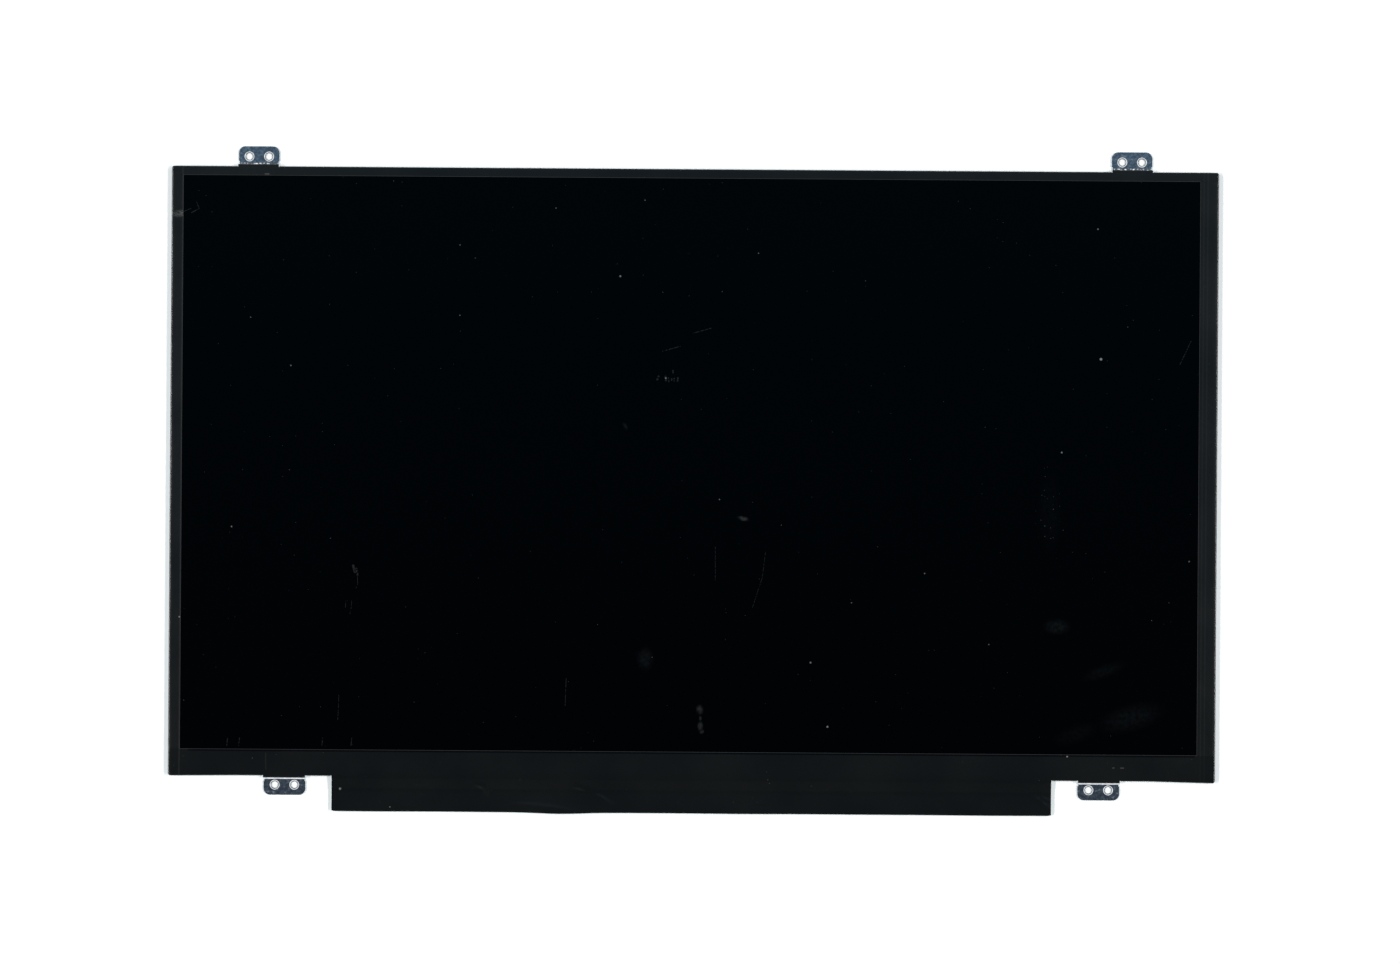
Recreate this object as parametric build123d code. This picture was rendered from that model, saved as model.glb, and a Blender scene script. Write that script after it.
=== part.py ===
from build123d import *
import os

# A 14-inch laptop screen panel, lying on its back with the picture side up.
# +X runs to the right of the picture, +Y to its top and +Z out of the screen.
# Lengths are in millimetres. The pieces are drawn about the middle of the panel's body,
# and moved last of all so that the origin is the middle of the whole part's underside.

# Picture area, the black rim seen round it, and the taped borders
active_w = 309.4
active_h = 174.0
rim_side = 0.85
rim_end = 0.75
border_left = 3.6
border_right = 5.7
border_top = 2.8
border_bottom = 8.1

# Layers from the back to the front
cover_t = 0.3
pad_depth = 0.25
reflector_t = 0.2
guide_t = 0.7
diffuser_t = 0.12
prism_t = 0.15
film_gap = 0.03
bond_t = 0.06
rear_polariser_t = 0.16
tft_glass_t = 0.5
colour_glass_t = 0.5
front_polariser_t = 0.2
tape_t = 0.1

# How far the sheets reach past the active area
guide_side = 1.5
guide_top = 1.25
guide_lead = 2.3
film_reach = 1.0
bond_reach = 0.6
rear_polariser_reach = 1.6
tape_lap = 0.45
bond_ledge = 3.7

# Locating tabs on the edges of the films and of the light guide
film_tab_w = 8.0
film_tab_d = 0.8
film_tab_y = 50.0
guide_tab_w = 6.0
guide_tab_d = 1.0
guide_tab_y = 74.0

# Back cover
cover_bend = 0.5
wall_drop = 0.3
pad_columns = 3
pad_inset = 5.0
bead_w = 8.0
pad_corner = 9.0
pad_slope = 45.0

# Mould frame
frame_gap = 0.05
frame_side = 0.85
frame_top = 0.75
frame_bottom = 2.3
cell_gap = 0.15
sheet_gap = 0.15
lip_gap = 0.02
frame_corner = 0.8
frame_edge = 0.2
frame_foot = 0.25
snap_w = 7.0
snap_h = 0.6
snap_d = 0.25
snap_gap = 0.1
snap_x = 84.0
snap_y = 45.0

# Edge tapes
fold_r = 0.2
tape_back = 2.2
tape_corner = 0.8
slit = 0.25

# Ear brackets
ear_t = 0.5
ear_z = 0.5
ear_bend = 1.0
ear_corner = 2.0
ear_neck = 0.25
ear_relief = 0.2
ear_hole_r = 1.05
ear_hole_rim_r = 1.5
ear_hole_rim_d = 0.2
ear_hole_pitch = 6.0
ear_hole_end = 3.1
ear_w_top = 12.4
ear_w_bottom = 12.8
ear_reach_top = 6.2
ear_reach_bottom = 6.0
ear_inset_top = 26.5
ear_flap_gap = 8.15
ear_tape_gap = 0.1

# Control board under the flap of the board cover tape
flap_w = 220.2
flap_reach = 10.8
flap_land = 4.4
flap_bend = 2.0
board_t = 0.8
board_drop = 0.12
board_side = 0.8
board_end = 0.2
board_gap = 0.7

# Source films, from the glass ledge to the board, with a chip on each
source_count = 4
source_w = 36.0
source_t = 0.06
source_bond = 1.4
source_land = 1.8
source_bend = 1.0
source_room = 1.0
source_chip_w = 16.0
source_chip_d = 1.4
source_chip_h = 0.4

# Light strip
led_count = 36
led_pitch = 8.4
led_w = 3.0
led_d = 1.0
led_h = 0.6
led_gap = 0.1
strip_d = 4.0
strip_t = 0.12
strip_room = 0.05
led_room = 0.3
tail_w = 9.0
tail_run = 0.4
tail_rise = 1.5
tail_land = 2.2
tail_bend = 0.5
tail_room = 0.3

# Signal connector on the back of the board
pin_count = 30
pin_pitch = 0.5
pin_w = 0.2
pin_t = 0.15
pin_gap = 0.03
pin_tail = 0.7
connector_y = -0.4
connector_w = 19.6
connector_d = 4.0
connector_h = 1.1
mouth_w = 16.2
mouth_h = 0.55
mouth_d = 3.0
shell_t = 0.15
shell_foot = 0.8
shell_back = 0.5

# Chips, coils and small parts on the back of the board: width, depth and height
timing_size = (7.0, 7.0, 0.85)
memory_size = (3.0, 4.4, 0.9)
power_size = (5.0, 5.0, 0.8)
backlight_size = (4.0, 4.0, 0.8)
diode_size = (2.7, 1.6, 0.9)
capacitor_size = (1.6, 0.8, 0.8)
resistor_size = (1.0, 0.5, 0.35)
coil_w = 4.2
coil_h = 1.1
coil_corner = 1.1
chip_chamfer = 0.15
part_pitch_x = 2.4
part_pitch_y = 1.7
capacitor_rows = 3
capacitor_columns = 3
resistor_rows = 2
resistor_columns = 4

# Places along the board, as shares of half its length from its middle
connector_place = -0.68
memory_place = -0.485
timing_place = -0.365
power_place = 0.037
power_coil_place = 0.115
backlight_place = 0.55
backlight_coil_place = 0.63
diode_place = 0.69
tail_place = 0.84
capacitor_places = (-0.275, -0.045, 0.2, 0.46)
resistor_places = (-0.165, 0.31, 0.76)


def grow(outline, left, right, bottom, top):
    """The rectangle whose edges lie further out by the four given distances."""
    return (outline[0] - left, outline[1] + right, outline[2] - bottom, outline[3] + top)


def middle(outline):
    """Middle of a rectangle."""
    return ((outline[0] + outline[1]) / 2, (outline[2] + outline[3]) / 2)


def sheet(outline, low, high, corner=0.0):
    """Flat sheet over a rectangle, between two heights, with rounded corners where asked."""
    width = outline[1] - outline[0]
    depth = outline[3] - outline[2]
    face = RectangleRounded(width, depth, corner) if corner else Rectangle(width, depth)
    x, y = middle(outline)
    return extrude(Pos(x, y, low) * face, amount=high - low)


def ribbon(points, radii, start, end, thickness):
    """Bent strip: the middle line runs through (y, z) points, and the width lies along X."""
    path = FilletPolyline(*[(0, y, z) for y, z in points], radius=radii)
    section = Plane(origin=path @ 0, x_dir=(1, 0, 0), z_dir=path % 0) * Rectangle(end - start, thickness)
    return Pos((start + end) / 2, 0, 0) * sweep(section, path=path)


def turned(shape):
    """A quarter turn that takes the top side of the panel to its left side."""
    return Rot(0, 0, 90) * shape


# Heights of the layers
seat_z = pad_depth + cover_t
guide_z = seat_z + reflector_t
diffuser_z = guide_z + guide_t
lower_prism_z = diffuser_z + diffuser_t
upper_prism_z = lower_prism_z + prism_t
ledge_z = upper_prism_z + prism_t + film_gap
rear_polariser_z = ledge_z + bond_t
tft_z = rear_polariser_z + rear_polariser_t
colour_z = tft_z + tft_glass_t
polariser_z = colour_z + colour_glass_t
front_z = polariser_z + front_polariser_t
tape_mid_z = front_z + tape_t / 2
wall_top_z = colour_z - wall_drop
lip_z = diffuser_z + lip_gap
board_z = colour_z - board_drop
board_low_z = board_z - board_t

# Outlines as left, right, bottom and top
body_w = active_w + 2 * rim_side + border_left + border_right
body_h = active_h + 2 * rim_end + border_top + border_bottom
half_w = body_w / 2
half_h = body_h / 2
body = (-half_w, half_w, -half_h, half_h)
window = grow(body, -border_left, -border_right, -border_bottom, -border_top)
active = grow(window, -rim_side, -rim_side, -rim_end, -rim_end)
cover_outer = grow(body, -tape_t, -tape_t, -tape_t, -tape_t)
cover_inner = grow(cover_outer, -cover_t, -cover_t, -cover_t, -cover_t)
frame_outer = grow(cover_inner, -frame_gap, -frame_gap, -frame_gap, -frame_gap)
pocket = grow(frame_outer, -frame_side, -frame_side, -frame_bottom, -frame_top)
tft = grow(pocket, -cell_gap, -cell_gap, -cell_gap, -cell_gap)
colour = grow(tft, 0, 0, -bond_ledge, 0)
guide = grow(active, guide_side, guide_side, guide_lead, guide_top)
film = grow(active, film_reach, film_reach, film_reach, film_reach)
cavity = grow(guide, sheet_gap, sheet_gap, led_gap + led_d + led_room, sheet_gap)
film_window = grow(film, sheet_gap, sheet_gap, sheet_gap, sheet_gap)
strip_w = led_count * led_pitch
strip_x = middle(active)[0]
strip_top = guide[2] - led_gap
strip = (strip_x - strip_w / 2, strip_x + strip_w / 2, strip_top - strip_d, strip_top)
board_bottom = -half_h - flap_reach + board_end
board = (-flap_w / 2 + board_side, flap_w / 2 - board_side, board_bottom, -half_h - board_gap)
board_y = middle(board)[1]
connector_x = connector_place * board[1]
connector_mouth = board_y + connector_y - connector_d / 2
connector_rear = connector_mouth + connector_d
tail_x = tail_place * board[1]
source_pitch = (board[1] - board[0]) / source_count
source_xs = [board[0] + (i + 0.5) * source_pitch for i in range(source_count)]
ear_xs_top = (-half_w + ear_inset_top, half_w - ear_inset_top)
ear_x_bottom = flap_w / 2 + ear_flap_gap + ear_w_bottom / 2
ear_xs_bottom = (-ear_x_bottom, ear_x_bottom)
origin_y = (ear_reach_top - flap_reach) / 2


def tabs(outline, width, depth, spots, low, high):
    """Small tabs standing out of the left and right edges of a sheet."""
    made = Part()
    for y in spots:
        strip_of_tab = (outline[0] - depth, outline[1] + depth, y - width / 2, y + width / 2)
        made += sheet(strip_of_tab, low, high)
    return made


def film_tabs(room, low, high):
    """The films' tabs, or the frame's recesses for them where room is given."""
    y = middle(active)[1]
    spots = (y - film_tab_y, y + film_tab_y)
    return tabs(film, film_tab_w + 2 * room, film_tab_d + room, spots, low, high)


def guide_tabs(room, low, high):
    """The light guide's tabs, or the frame's recesses for them where room is given."""
    spots = (middle(active)[1] + guide_tab_y,)
    return tabs(guide, guide_tab_w + 2 * room, guide_tab_d + room, spots, low, high)


def snaps(width, height, depth, low):
    """Lugs on the top, left and right sides of the mould frame, or the cover's windows for them."""
    made = Part()
    for x in (-snap_x, 0, snap_x):
        top = (x - width / 2, x + width / 2, frame_outer[3] - frame_gap, frame_outer[3] + depth)
        made += sheet(top, low, low + height)
    for y in (-snap_y, snap_y):
        left = (frame_outer[0] - depth, frame_outer[0] + frame_gap, y - width / 2, y + width / 2)
        right = (frame_outer[1] - frame_gap, frame_outer[1] + depth, y - width / 2, y + width / 2)
        made += sheet(left, low, low + height)
        made += sheet(right, low, low + height)
    return made


def pads(low):
    """The pressed pads as solids: narrow at their foot, with sloping sides up to the rim's height."""
    field = grow(guide, -pad_inset, -pad_inset, -pad_inset, -pad_inset)
    width = (field[1] - field[0] - (pad_columns - 1) * bead_w) / pad_columns
    face = RectangleRounded(width, field[3] - field[2], pad_corner)
    pad = extrude(face, amount=-pad_depth, taper=pad_slope)
    x, y = middle(field)
    made = Part()
    for spot in GridLocations(width + bead_w, bead_w, pad_columns, 1):
        made += Pos(x, y, low + pad_depth) * spot * pad
    return made


def tray(outline, low, bend):
    """Block over a rectangle, with a round along its lower edges."""
    block = sheet(outline, low, wall_top_z)
    return fillet(block.faces().sort_by(Axis.Z)[0].edges(), bend)


def back_cover():
    """Folded tray: side walls with open corners, a flat rim for the stack, and pads between beads."""
    outside = tray(cover_outer, pad_depth, cover_bend) + pads(0)
    inside = tray(cover_inner, seat_z, cover_bend - cover_t) + pads(cover_t)
    cover = outside - inside
    relief = 2 * (cover_bend + cover_t)
    for x in cover_outer[:2]:
        for y in cover_outer[2:]:
            cover -= Pos(x, y, 0) * Box(relief, relief, 2 * wall_top_z)
    snap_low = ledge_z - snap_h - 2 * snap_gap
    cover -= snaps(snap_w + 2 * snap_gap, snap_h + 2 * snap_gap, frame_gap + 2 * cover_t, snap_low)
    slot_top = seat_z + strip_t + 2 * strip_room
    return cover - tail_way(cover_inner[2] + cover_t, slot_top)


def tail_way(inner_y, high):
    """The way out for the light strip's tail, through the lower side of the frame or the cover."""
    half = tail_w / 2 + tail_room
    return sheet((tail_x - half, tail_x + half, -half_h, inner_y), seat_z, high)


def mould_frame():
    """Moulded frame: shoulder over the cover's walls, cell pocket, film window and light cavity."""
    lower = sheet(frame_outer, seat_z, wall_top_z + frame_gap)
    lower = chamfer(lower.faces().sort_by(Axis.Z)[0].edges(), frame_foot)
    shoulder = sheet(cover_outer, wall_top_z + frame_gap, front_z, frame_corner)
    shoulder = chamfer(shoulder.faces().sort_by(Axis.Z)[-1].edges(), frame_edge)
    frame = lower + shoulder
    frame += snaps(snap_w, snap_h, snap_d, ledge_z - snap_h - snap_gap)
    frame -= sheet(cavity, seat_z, lip_z)
    frame -= guide_tabs(sheet_gap, seat_z, lip_z)
    frame -= sheet(film_window, lip_z, ledge_z)
    frame -= film_tabs(sheet_gap, diffuser_z, ledge_z)
    frame -= sheet(pocket, ledge_z, front_z)
    for x in source_xs:
        half = source_w / 2 + source_room
        notch = (x - half, x + half, -half_h, pocket[2] + cell_gap)
        frame -= sheet(notch, colour_z - source_t, front_z)
    strip_top_z = seat_z + strip_t + strip_room
    frame -= sheet(grow(strip, strip_room, strip_room, strip_room, 0), seat_z, strip_top_z)
    return frame - tail_way(strip[3], strip_top_z)


def reflector_sheet():
    """White sheet behind the light guide, lying on the cover's rim and beads."""
    return sheet(guide, seat_z, guide_z)


def light_guide_plate():
    """Clear plate with a locating tab at each side."""
    return sheet(guide, guide_z, diffuser_z) + guide_tabs(0, guide_z, diffuser_z)


def film_sheet(low, thickness):
    """One of the films over the light guide, with its tabs."""
    return sheet(film, low, low + thickness) + film_tabs(0, low, low + thickness)


def cell_bonding_tape():
    """Black ring between the frame's ledge and the cell."""
    opening = grow(active, bond_reach, bond_reach, bond_reach, bond_reach)
    return sheet(tft, ledge_z, rear_polariser_z) - sheet(opening, ledge_z, rear_polariser_z)


def rear_polariser():
    """Polarising film behind the cell."""
    reach = rear_polariser_reach
    return sheet(grow(active, reach, reach, reach, reach), rear_polariser_z, tft_z)


def front_polariser():
    """Polarising film on the front, reaching a little under the tapes."""
    return sheet(grow(window, tape_lap, tape_lap, tape_lap, tape_lap), polariser_z, front_z)


def tape_fold(edge, side, start, end, border):
    """Tape folded round a panel edge: over the border, down the side and a little way across the back."""
    points = (
        (side * (edge - border), tape_mid_z),
        (side * (edge - tape_t / 2), tape_mid_z),
        (side * (edge - tape_t / 2), pad_depth - tape_t / 2),
        (side * (edge - tape_back), pad_depth - tape_t / 2),
    )
    return ribbon(points, (fold_r + tape_t / 2, cover_bend + tape_t / 2), start, end, tape_t)


def tape_side(edge, side, start, end):
    """Tape on the side wall alone, where another piece of tape covers the front."""
    inner = side * (edge - tape_t)
    outer = side * edge
    wall = (start, end, min(inner, outer), max(inner, outer))
    return sheet(wall, pad_depth + cover_bend, front_z - fold_r)


def tape_ear(side, start, end, border):
    """Tape over the upright leg of an ear bracket, ending just above the bracket's bend."""
    points = (
        (side * (half_h - border), tape_mid_z),
        (side * (half_h + ear_t - tape_t / 2), tape_mid_z),
        (side * (half_h + ear_t - tape_t / 2), ear_z + ear_t + ear_bend + ear_tape_gap),
    )
    return ribbon(points, (fold_r + tape_t / 2,), start, end, tape_t)


def taped_edge(side, border, start, end, ear_xs, ear_w):
    """Folded tape along the top or bottom edge, slit beside each ear and lifted over it."""
    made = Part()
    at = start
    for x in ear_xs:
        made += tape_fold(half_h, side, at, x - ear_w / 2 - slit, border)
        made += tape_ear(side, x - ear_w / 2, x + ear_w / 2, border)
        at = x + ear_w / 2 + slit
    return made + tape_fold(half_h, side, at, end, border)


def top_edge_tape():
    """Tape along the top edge, from corner to corner."""
    flat = (-half_w + tape_corner - fold_r, half_w - tape_corner + fold_r, window[3], half_h - tape_corner)
    tape = sheet(flat, front_z, front_z + tape_t)
    edge = half_w - tape_corner
    return tape + taped_edge(1, border_top, -edge, edge, ear_xs_top, ear_w_top)


def left_edge_tape():
    """Tape down the left edge, from the top tape to the lower corner."""
    low = -half_h + tape_corner
    high = half_h - max(border_top, tape_back)
    tape = tape_fold(half_w, 1, low, high, border_left)
    return turned(tape + tape_side(half_w, 1, high, half_h - tape_corner))


def right_edge_tape():
    """Tape down the right edge, between the top tape and the board cover tape."""
    low = -half_h + max(border_bottom, tape_back)
    high = half_h - max(border_top, tape_back)
    tape = tape_fold(half_w, -1, low, high, border_right)
    tape += tape_side(half_w, -1, high, half_h - tape_corner)
    return turned(tape + tape_side(half_w, -1, -half_h + tape_corner, low))


def board_cover_tape():
    """Tape over the lower border: folded at the ends, with the wide flap over the control board between."""
    flap = (
        (-half_h + border_bottom, tape_mid_z),
        (-half_h, tape_mid_z),
        (-half_h - flap_land, board_z + tape_t / 2),
        (-half_h - flap_reach, board_z + tape_t / 2),
    )
    half_flap = flap_w / 2
    flat = (window[0], half_w - tape_corner + fold_r, -half_h + tape_corner, window[2])
    tape = sheet(flat, front_z, front_z + tape_t)
    tape += ribbon(flap, (flap_bend, flap_bend), -half_flap, half_flap, tape_t)
    left_ear = ear_xs_bottom[:1]
    right_ear = ear_xs_bottom[1:]
    tape += taped_edge(-1, border_bottom, window[0], -half_flap - slit, left_ear, ear_w_bottom)
    corner = half_w - tape_corner
    return tape + taped_edge(-1, border_bottom, half_flap + slit, corner, right_ear, ear_w_bottom)


def ear_bracket(x, side, width, reach):
    """Folded steel ear: leg on the cover's wall, bend with relief notches, and a tab with two holes."""
    leg_y = half_h - tape_t + ear_t / 2
    tab_z = ear_z + ear_t / 2
    points = (
        (side * leg_y, front_z),
        (side * leg_y, tab_z),
        (side * (half_h + reach), tab_z),
    )
    ear = ribbon(points, (ear_bend + ear_t / 2,), -width / 2, width / 2, ear_t)

    def outward(edge):
        return side * edge.center().Y

    ear = fillet(ear.edges().filter_by(Axis.Z).sort_by(outward)[-2:], ear_corner)
    ear = fillet(ear.edges().filter_by(Axis.X).group_by(Axis.Z)[-1].sort_by(outward)[-1], fold_r)
    notch = Box(2 * ear_neck, 2 * (ear_t + ear_bend + ear_relief), 2 * front_z)
    for end in (-1, 1):
        ear -= Pos(end * width / 2, side * half_h, front_z) * notch
    hole_y = side * (half_h + reach - ear_hole_end)
    top = ear_z + ear_t
    hole = Pos(0, 0, tab_z) * Cylinder(ear_hole_r, 2 * ear_t)
    hole += Pos(0, 0, top - ear_hole_rim_d / 2) * Cone(ear_hole_r, ear_hole_rim_r, ear_hole_rim_d)
    for end in (-1, 1):
        ear -= Pos(end * ear_hole_pitch / 2, hole_y, 0) * hole
    return Pos(x, 0, 0) * ear


def source_film(x):
    """Flexible film from the glass ledge to the board."""
    points = (
        (tft[2] + source_bond, colour_z + source_t / 2),
        (-half_h, colour_z + source_t / 2),
        (board[3] - cell_gap, board_z + source_t / 2),
        (board[3] - source_land, board_z + source_t / 2),
    )
    return ribbon(points, (source_bend, source_bend), x - source_w / 2, x + source_w / 2, source_t)


def source_chip(x):
    """Long driver chip on a source film, where the film passes over the frame."""
    y = (frame_outer[2] + pocket[2]) / 2
    low = colour_z + source_t
    half_d = source_chip_d / 2
    outline = (x - source_chip_w / 2, x + source_chip_w / 2, y - half_d, y + half_d)
    return sheet(outline, low, low + source_chip_h)


def control_board():
    """Long narrow circuit board."""
    return sheet(board, board_low_z, board_z)


def light_strip_flex():
    """Strip that carries the light-emitting diodes, with a tail that rises to the back of the board."""
    line_z = seat_z + strip_t / 2
    solder_z = board_low_z - strip_t / 2
    rise_start = -half_h - tail_run
    rise_end = rise_start - tail_rise
    points = (
        (strip[2], line_z),
        (rise_start, line_z),
        (rise_end, solder_z),
        (rise_end - tail_land, solder_z),
    )
    tail = ribbon(points, (tail_bend, tail_bend), tail_x - tail_w / 2, tail_x + tail_w / 2, strip_t)
    return sheet(strip, seat_z, seat_z + strip_t) + tail


def light_emitting_diodes():
    """Row of packages that shine sideways into the light guide."""
    low = seat_z + strip_t
    seat = Pos(strip_x, strip_top - led_d / 2, low + led_h / 2)
    spots = [seat * spot for spot in GridLocations(led_pitch, led_pitch, led_count, 1)]
    return Part() + [spot * Box(led_w, led_d, led_h) for spot in spots]


def behind_board(face, height, place):
    """Block on the back of the board at a place along it, with a chamfer along its outer rim."""
    block = extrude(Pos(place * board[1], board_y, board_low_z) * face, amount=-height)
    return chamfer(block.faces().sort_by(Axis.Z)[0].edges(), chip_chamfer)


def chip(size, place):
    """Moulded package on the back of the board."""
    return behind_board(Rectangle(size[0], size[1]), size[2], place)


def coil(place):
    """Shielded coil: square block with clipped corners."""
    square = Rectangle(coil_w, coil_w)
    return behind_board(chamfer(square.vertices(), coil_corner), coil_h, place)


def small_parts(size, columns, rows, places):
    """Fields of small parts in rows and columns, each field about one place along the board."""
    width, depth, height = size
    block = Pos(0, board_y, board_low_z - height / 2) * Box(width, depth, height)
    spots = GridLocations(part_pitch_x, part_pitch_y, columns, rows)
    return Part() + [Pos(at * board[1], 0, 0) * spot * block for at in places for spot in spots]


def signal_connector_housing():
    """Moulded receptacle: mouth towards the board's edge, over a channel that holds the row of contacts."""
    half = connector_w / 2
    block = (connector_x - half, connector_x + half, connector_mouth, connector_rear)
    half = mouth_w / 2
    mouth = (connector_x - half, connector_x + half, connector_mouth, connector_mouth + mouth_d)
    channel = (connector_x - half, connector_x + half, connector_mouth, connector_rear)
    channel_z = board_low_z - pin_t - pin_gap
    housing = sheet(block, board_low_z - connector_h, board_low_z)
    return housing - sheet(mouth, channel_z - mouth_h, channel_z) - sheet(channel, channel_z, board_low_z)


def signal_connector_shell():
    """Metal shell over the receptacle: a roof and two legs with feet soldered to the board."""
    half = connector_w / 2
    block = (connector_x - half, connector_x + half, connector_mouth, connector_rear - shell_back)
    roof = grow(block, shell_t, shell_t, 0, 0)
    low = board_low_z - connector_h
    shell = sheet(roof, low - shell_t, board_low_z)
    shell += sheet(grow(roof, shell_foot, shell_foot, 0, 0), board_low_z - shell_t, board_low_z)
    return shell - sheet(block, low, board_low_z)


def signal_connector_contacts():
    """Row of contacts along the board, with their solder tails behind the receptacle."""
    start = connector_mouth + pin_gap
    length = connector_rear + pin_tail - start
    pin = Pos(connector_x, start + length / 2, board_low_z - pin_t / 2) * Box(pin_w, length, pin_t)
    return Part() + [spot * pin for spot in GridLocations(pin_pitch, pin_pitch, pin_count, 1)]


nodes = {
    "back_cover": back_cover(),
    "mould_frame": mould_frame(),
    "reflector_sheet": reflector_sheet(),
    "light_guide_plate": light_guide_plate(),
    "diffuser_sheet": film_sheet(diffuser_z, diffuser_t),
    "lower_prism_sheet": film_sheet(lower_prism_z, prism_t),
    "upper_prism_sheet": film_sheet(upper_prism_z, prism_t),
    "light_strip_flex": light_strip_flex(),
    "light_emitting_diodes": light_emitting_diodes(),
    "cell_bonding_tape": cell_bonding_tape(),
    "rear_polariser": rear_polariser(),
    "tft_glass": sheet(tft, tft_z, colour_z),
    "colour_filter_glass": sheet(colour, colour_z, polariser_z),
    "front_polariser": front_polariser(),
    "top_edge_tape": top_edge_tape(),
    "left_edge_tape": left_edge_tape(),
    "right_edge_tape": right_edge_tape(),
    "board_cover_tape": board_cover_tape(),
    "ear_bracket_top_left": ear_bracket(ear_xs_top[0], 1, ear_w_top, ear_reach_top),
    "ear_bracket_top_right": ear_bracket(ear_xs_top[1], 1, ear_w_top, ear_reach_top),
    "ear_bracket_bottom_left": ear_bracket(ear_xs_bottom[0], -1, ear_w_bottom, ear_reach_bottom),
    "ear_bracket_bottom_right": ear_bracket(ear_xs_bottom[1], -1, ear_w_bottom, ear_reach_bottom),
    "control_board": control_board(),
    "timing_chip": chip(timing_size, timing_place),
    "memory_chip": chip(memory_size, memory_place),
    "power_chip": chip(power_size, power_place),
    "backlight_chip": chip(backlight_size, backlight_place),
    "backlight_diode": chip(diode_size, diode_place),
    "power_coil": coil(power_coil_place),
    "backlight_coil": coil(backlight_coil_place),
    "capacitors": small_parts(capacitor_size, capacitor_columns, capacitor_rows, capacitor_places),
    "resistors": small_parts(resistor_size, resistor_columns, resistor_rows, resistor_places),
    "signal_connector_housing": signal_connector_housing(),
    "signal_connector_shell": signal_connector_shell(),
    "signal_connector_contacts": signal_connector_contacts(),
}
for number, place in enumerate(source_xs, start=1):
    nodes[f"source_film_{number}"] = source_film(place)
    nodes[f"source_chip_{number}"] = source_chip(place)

os.makedirs("parts", exist_ok=True)
for name, shape in nodes.items():
    export_step(Pos(0, -origin_y, 0) * shape, f"parts/{name}.step")
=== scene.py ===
"""The looks of a 14-inch laptop screen panel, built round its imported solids.

Lengths are millimetres until a mesh is made.
+X is the right of the picture, +Y its top, +Z out of the screen.
"""
import math

import bpy
import numpy as np
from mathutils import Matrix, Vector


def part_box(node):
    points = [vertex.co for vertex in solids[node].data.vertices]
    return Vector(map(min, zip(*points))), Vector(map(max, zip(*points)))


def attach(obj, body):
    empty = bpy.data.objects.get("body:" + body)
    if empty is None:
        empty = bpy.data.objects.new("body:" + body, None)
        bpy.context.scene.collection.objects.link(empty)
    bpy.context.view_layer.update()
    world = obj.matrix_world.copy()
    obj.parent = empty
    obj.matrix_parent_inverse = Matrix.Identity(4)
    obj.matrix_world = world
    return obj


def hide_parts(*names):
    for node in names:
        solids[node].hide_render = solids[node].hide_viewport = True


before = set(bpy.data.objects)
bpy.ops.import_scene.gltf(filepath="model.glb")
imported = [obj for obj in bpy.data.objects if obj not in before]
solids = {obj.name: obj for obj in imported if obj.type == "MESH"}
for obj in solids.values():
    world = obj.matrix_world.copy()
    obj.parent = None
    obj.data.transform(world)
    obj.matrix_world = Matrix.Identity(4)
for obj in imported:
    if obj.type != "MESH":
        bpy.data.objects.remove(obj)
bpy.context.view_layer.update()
MM = 0.001

# The panel's body, the window in its tapes, and the heights of the tapes
HALF_W = 160.2
TOP = 95.5
BOTTOM = -90.9
WINDOW_LEFT = -156.6
WINDOW_RIGHT = 154.5
WINDOW_BOTTOM = -82.8
WINDOW_TOP = 92.7
CORNER = 0.8
TAPE_T = 0.1
TAPE_Z = 3.37
TAPE_BACK_Z = 0.20
TAPE_BACK = 2.2
FOLD_R = 0.25
BEND_R = 0.55
FOLD_START = 0.3
EDGE_TAPER = 0.09
SLIT = 0.25
LOOSE_START = 140.0
LOOSE = (0.2, 0.46)

# The ears that the tapes are lifted over, and the flap over the control board
EAR_OUT = 0.58
EAR_TAPE_END = 2.1
EAR_TOP = (133.7, 6.2)
EAR_BOTTOM = (124.65, 6.4)
EAR_HOLE_TOP = 98.6
EAR_HOLE_BOTTOM = -93.8
EAR_HOLE_STEP = 3.0
FLAP_HALF = 110.1
FLAP_REACH = 10.8
FLAP_LAND = 4.4
FLAP_DROP = 0.82

# The control board and what stands behind it
BOARD_X = 109.3
BOARD_Y = (-101.5, -91.6)
BOARD_MID_Y = -96.55
BOARD_BACK_Z = 1.70

# Chips on the board: the middle as a share of its half length, and how far the pressed dot stands from it
CHIPS = {
    "timing_chip": (-0.365, 2.6), "memory_chip": (-0.485, 1.0), "power_chip": (0.037, 1.7),
    "backlight_chip": (0.55, 1.3), "backlight_diode": (0.69, 0.4),
}

# Fields of small parts on the board: middles as shares of its half length, columns, rows, a part's size
CAPACITORS = ((-0.275, -0.045, 0.2, 0.46), 3, 3, (1.6, 0.8, 0.8))
RESISTORS = ((-0.165, 0.31, 0.76), 4, 2, (1.0, 0.5, 0.35))
PITCH = (2.4, 1.7)

# The stage round the panel, in metres, watts and degrees
FLOOR_HALF = 4.0
LAMP_SIZE = (0.5, 1.5)
LAMP_POWER = 82.0
LAMP_OUT = 1.69
LAMP_HEIGHT = 3.63
LAMP_TILT = 25.0
EYE_PLACE = (0.0020, -0.00004, 1.6093)
EYE_TURN = 0.40


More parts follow.
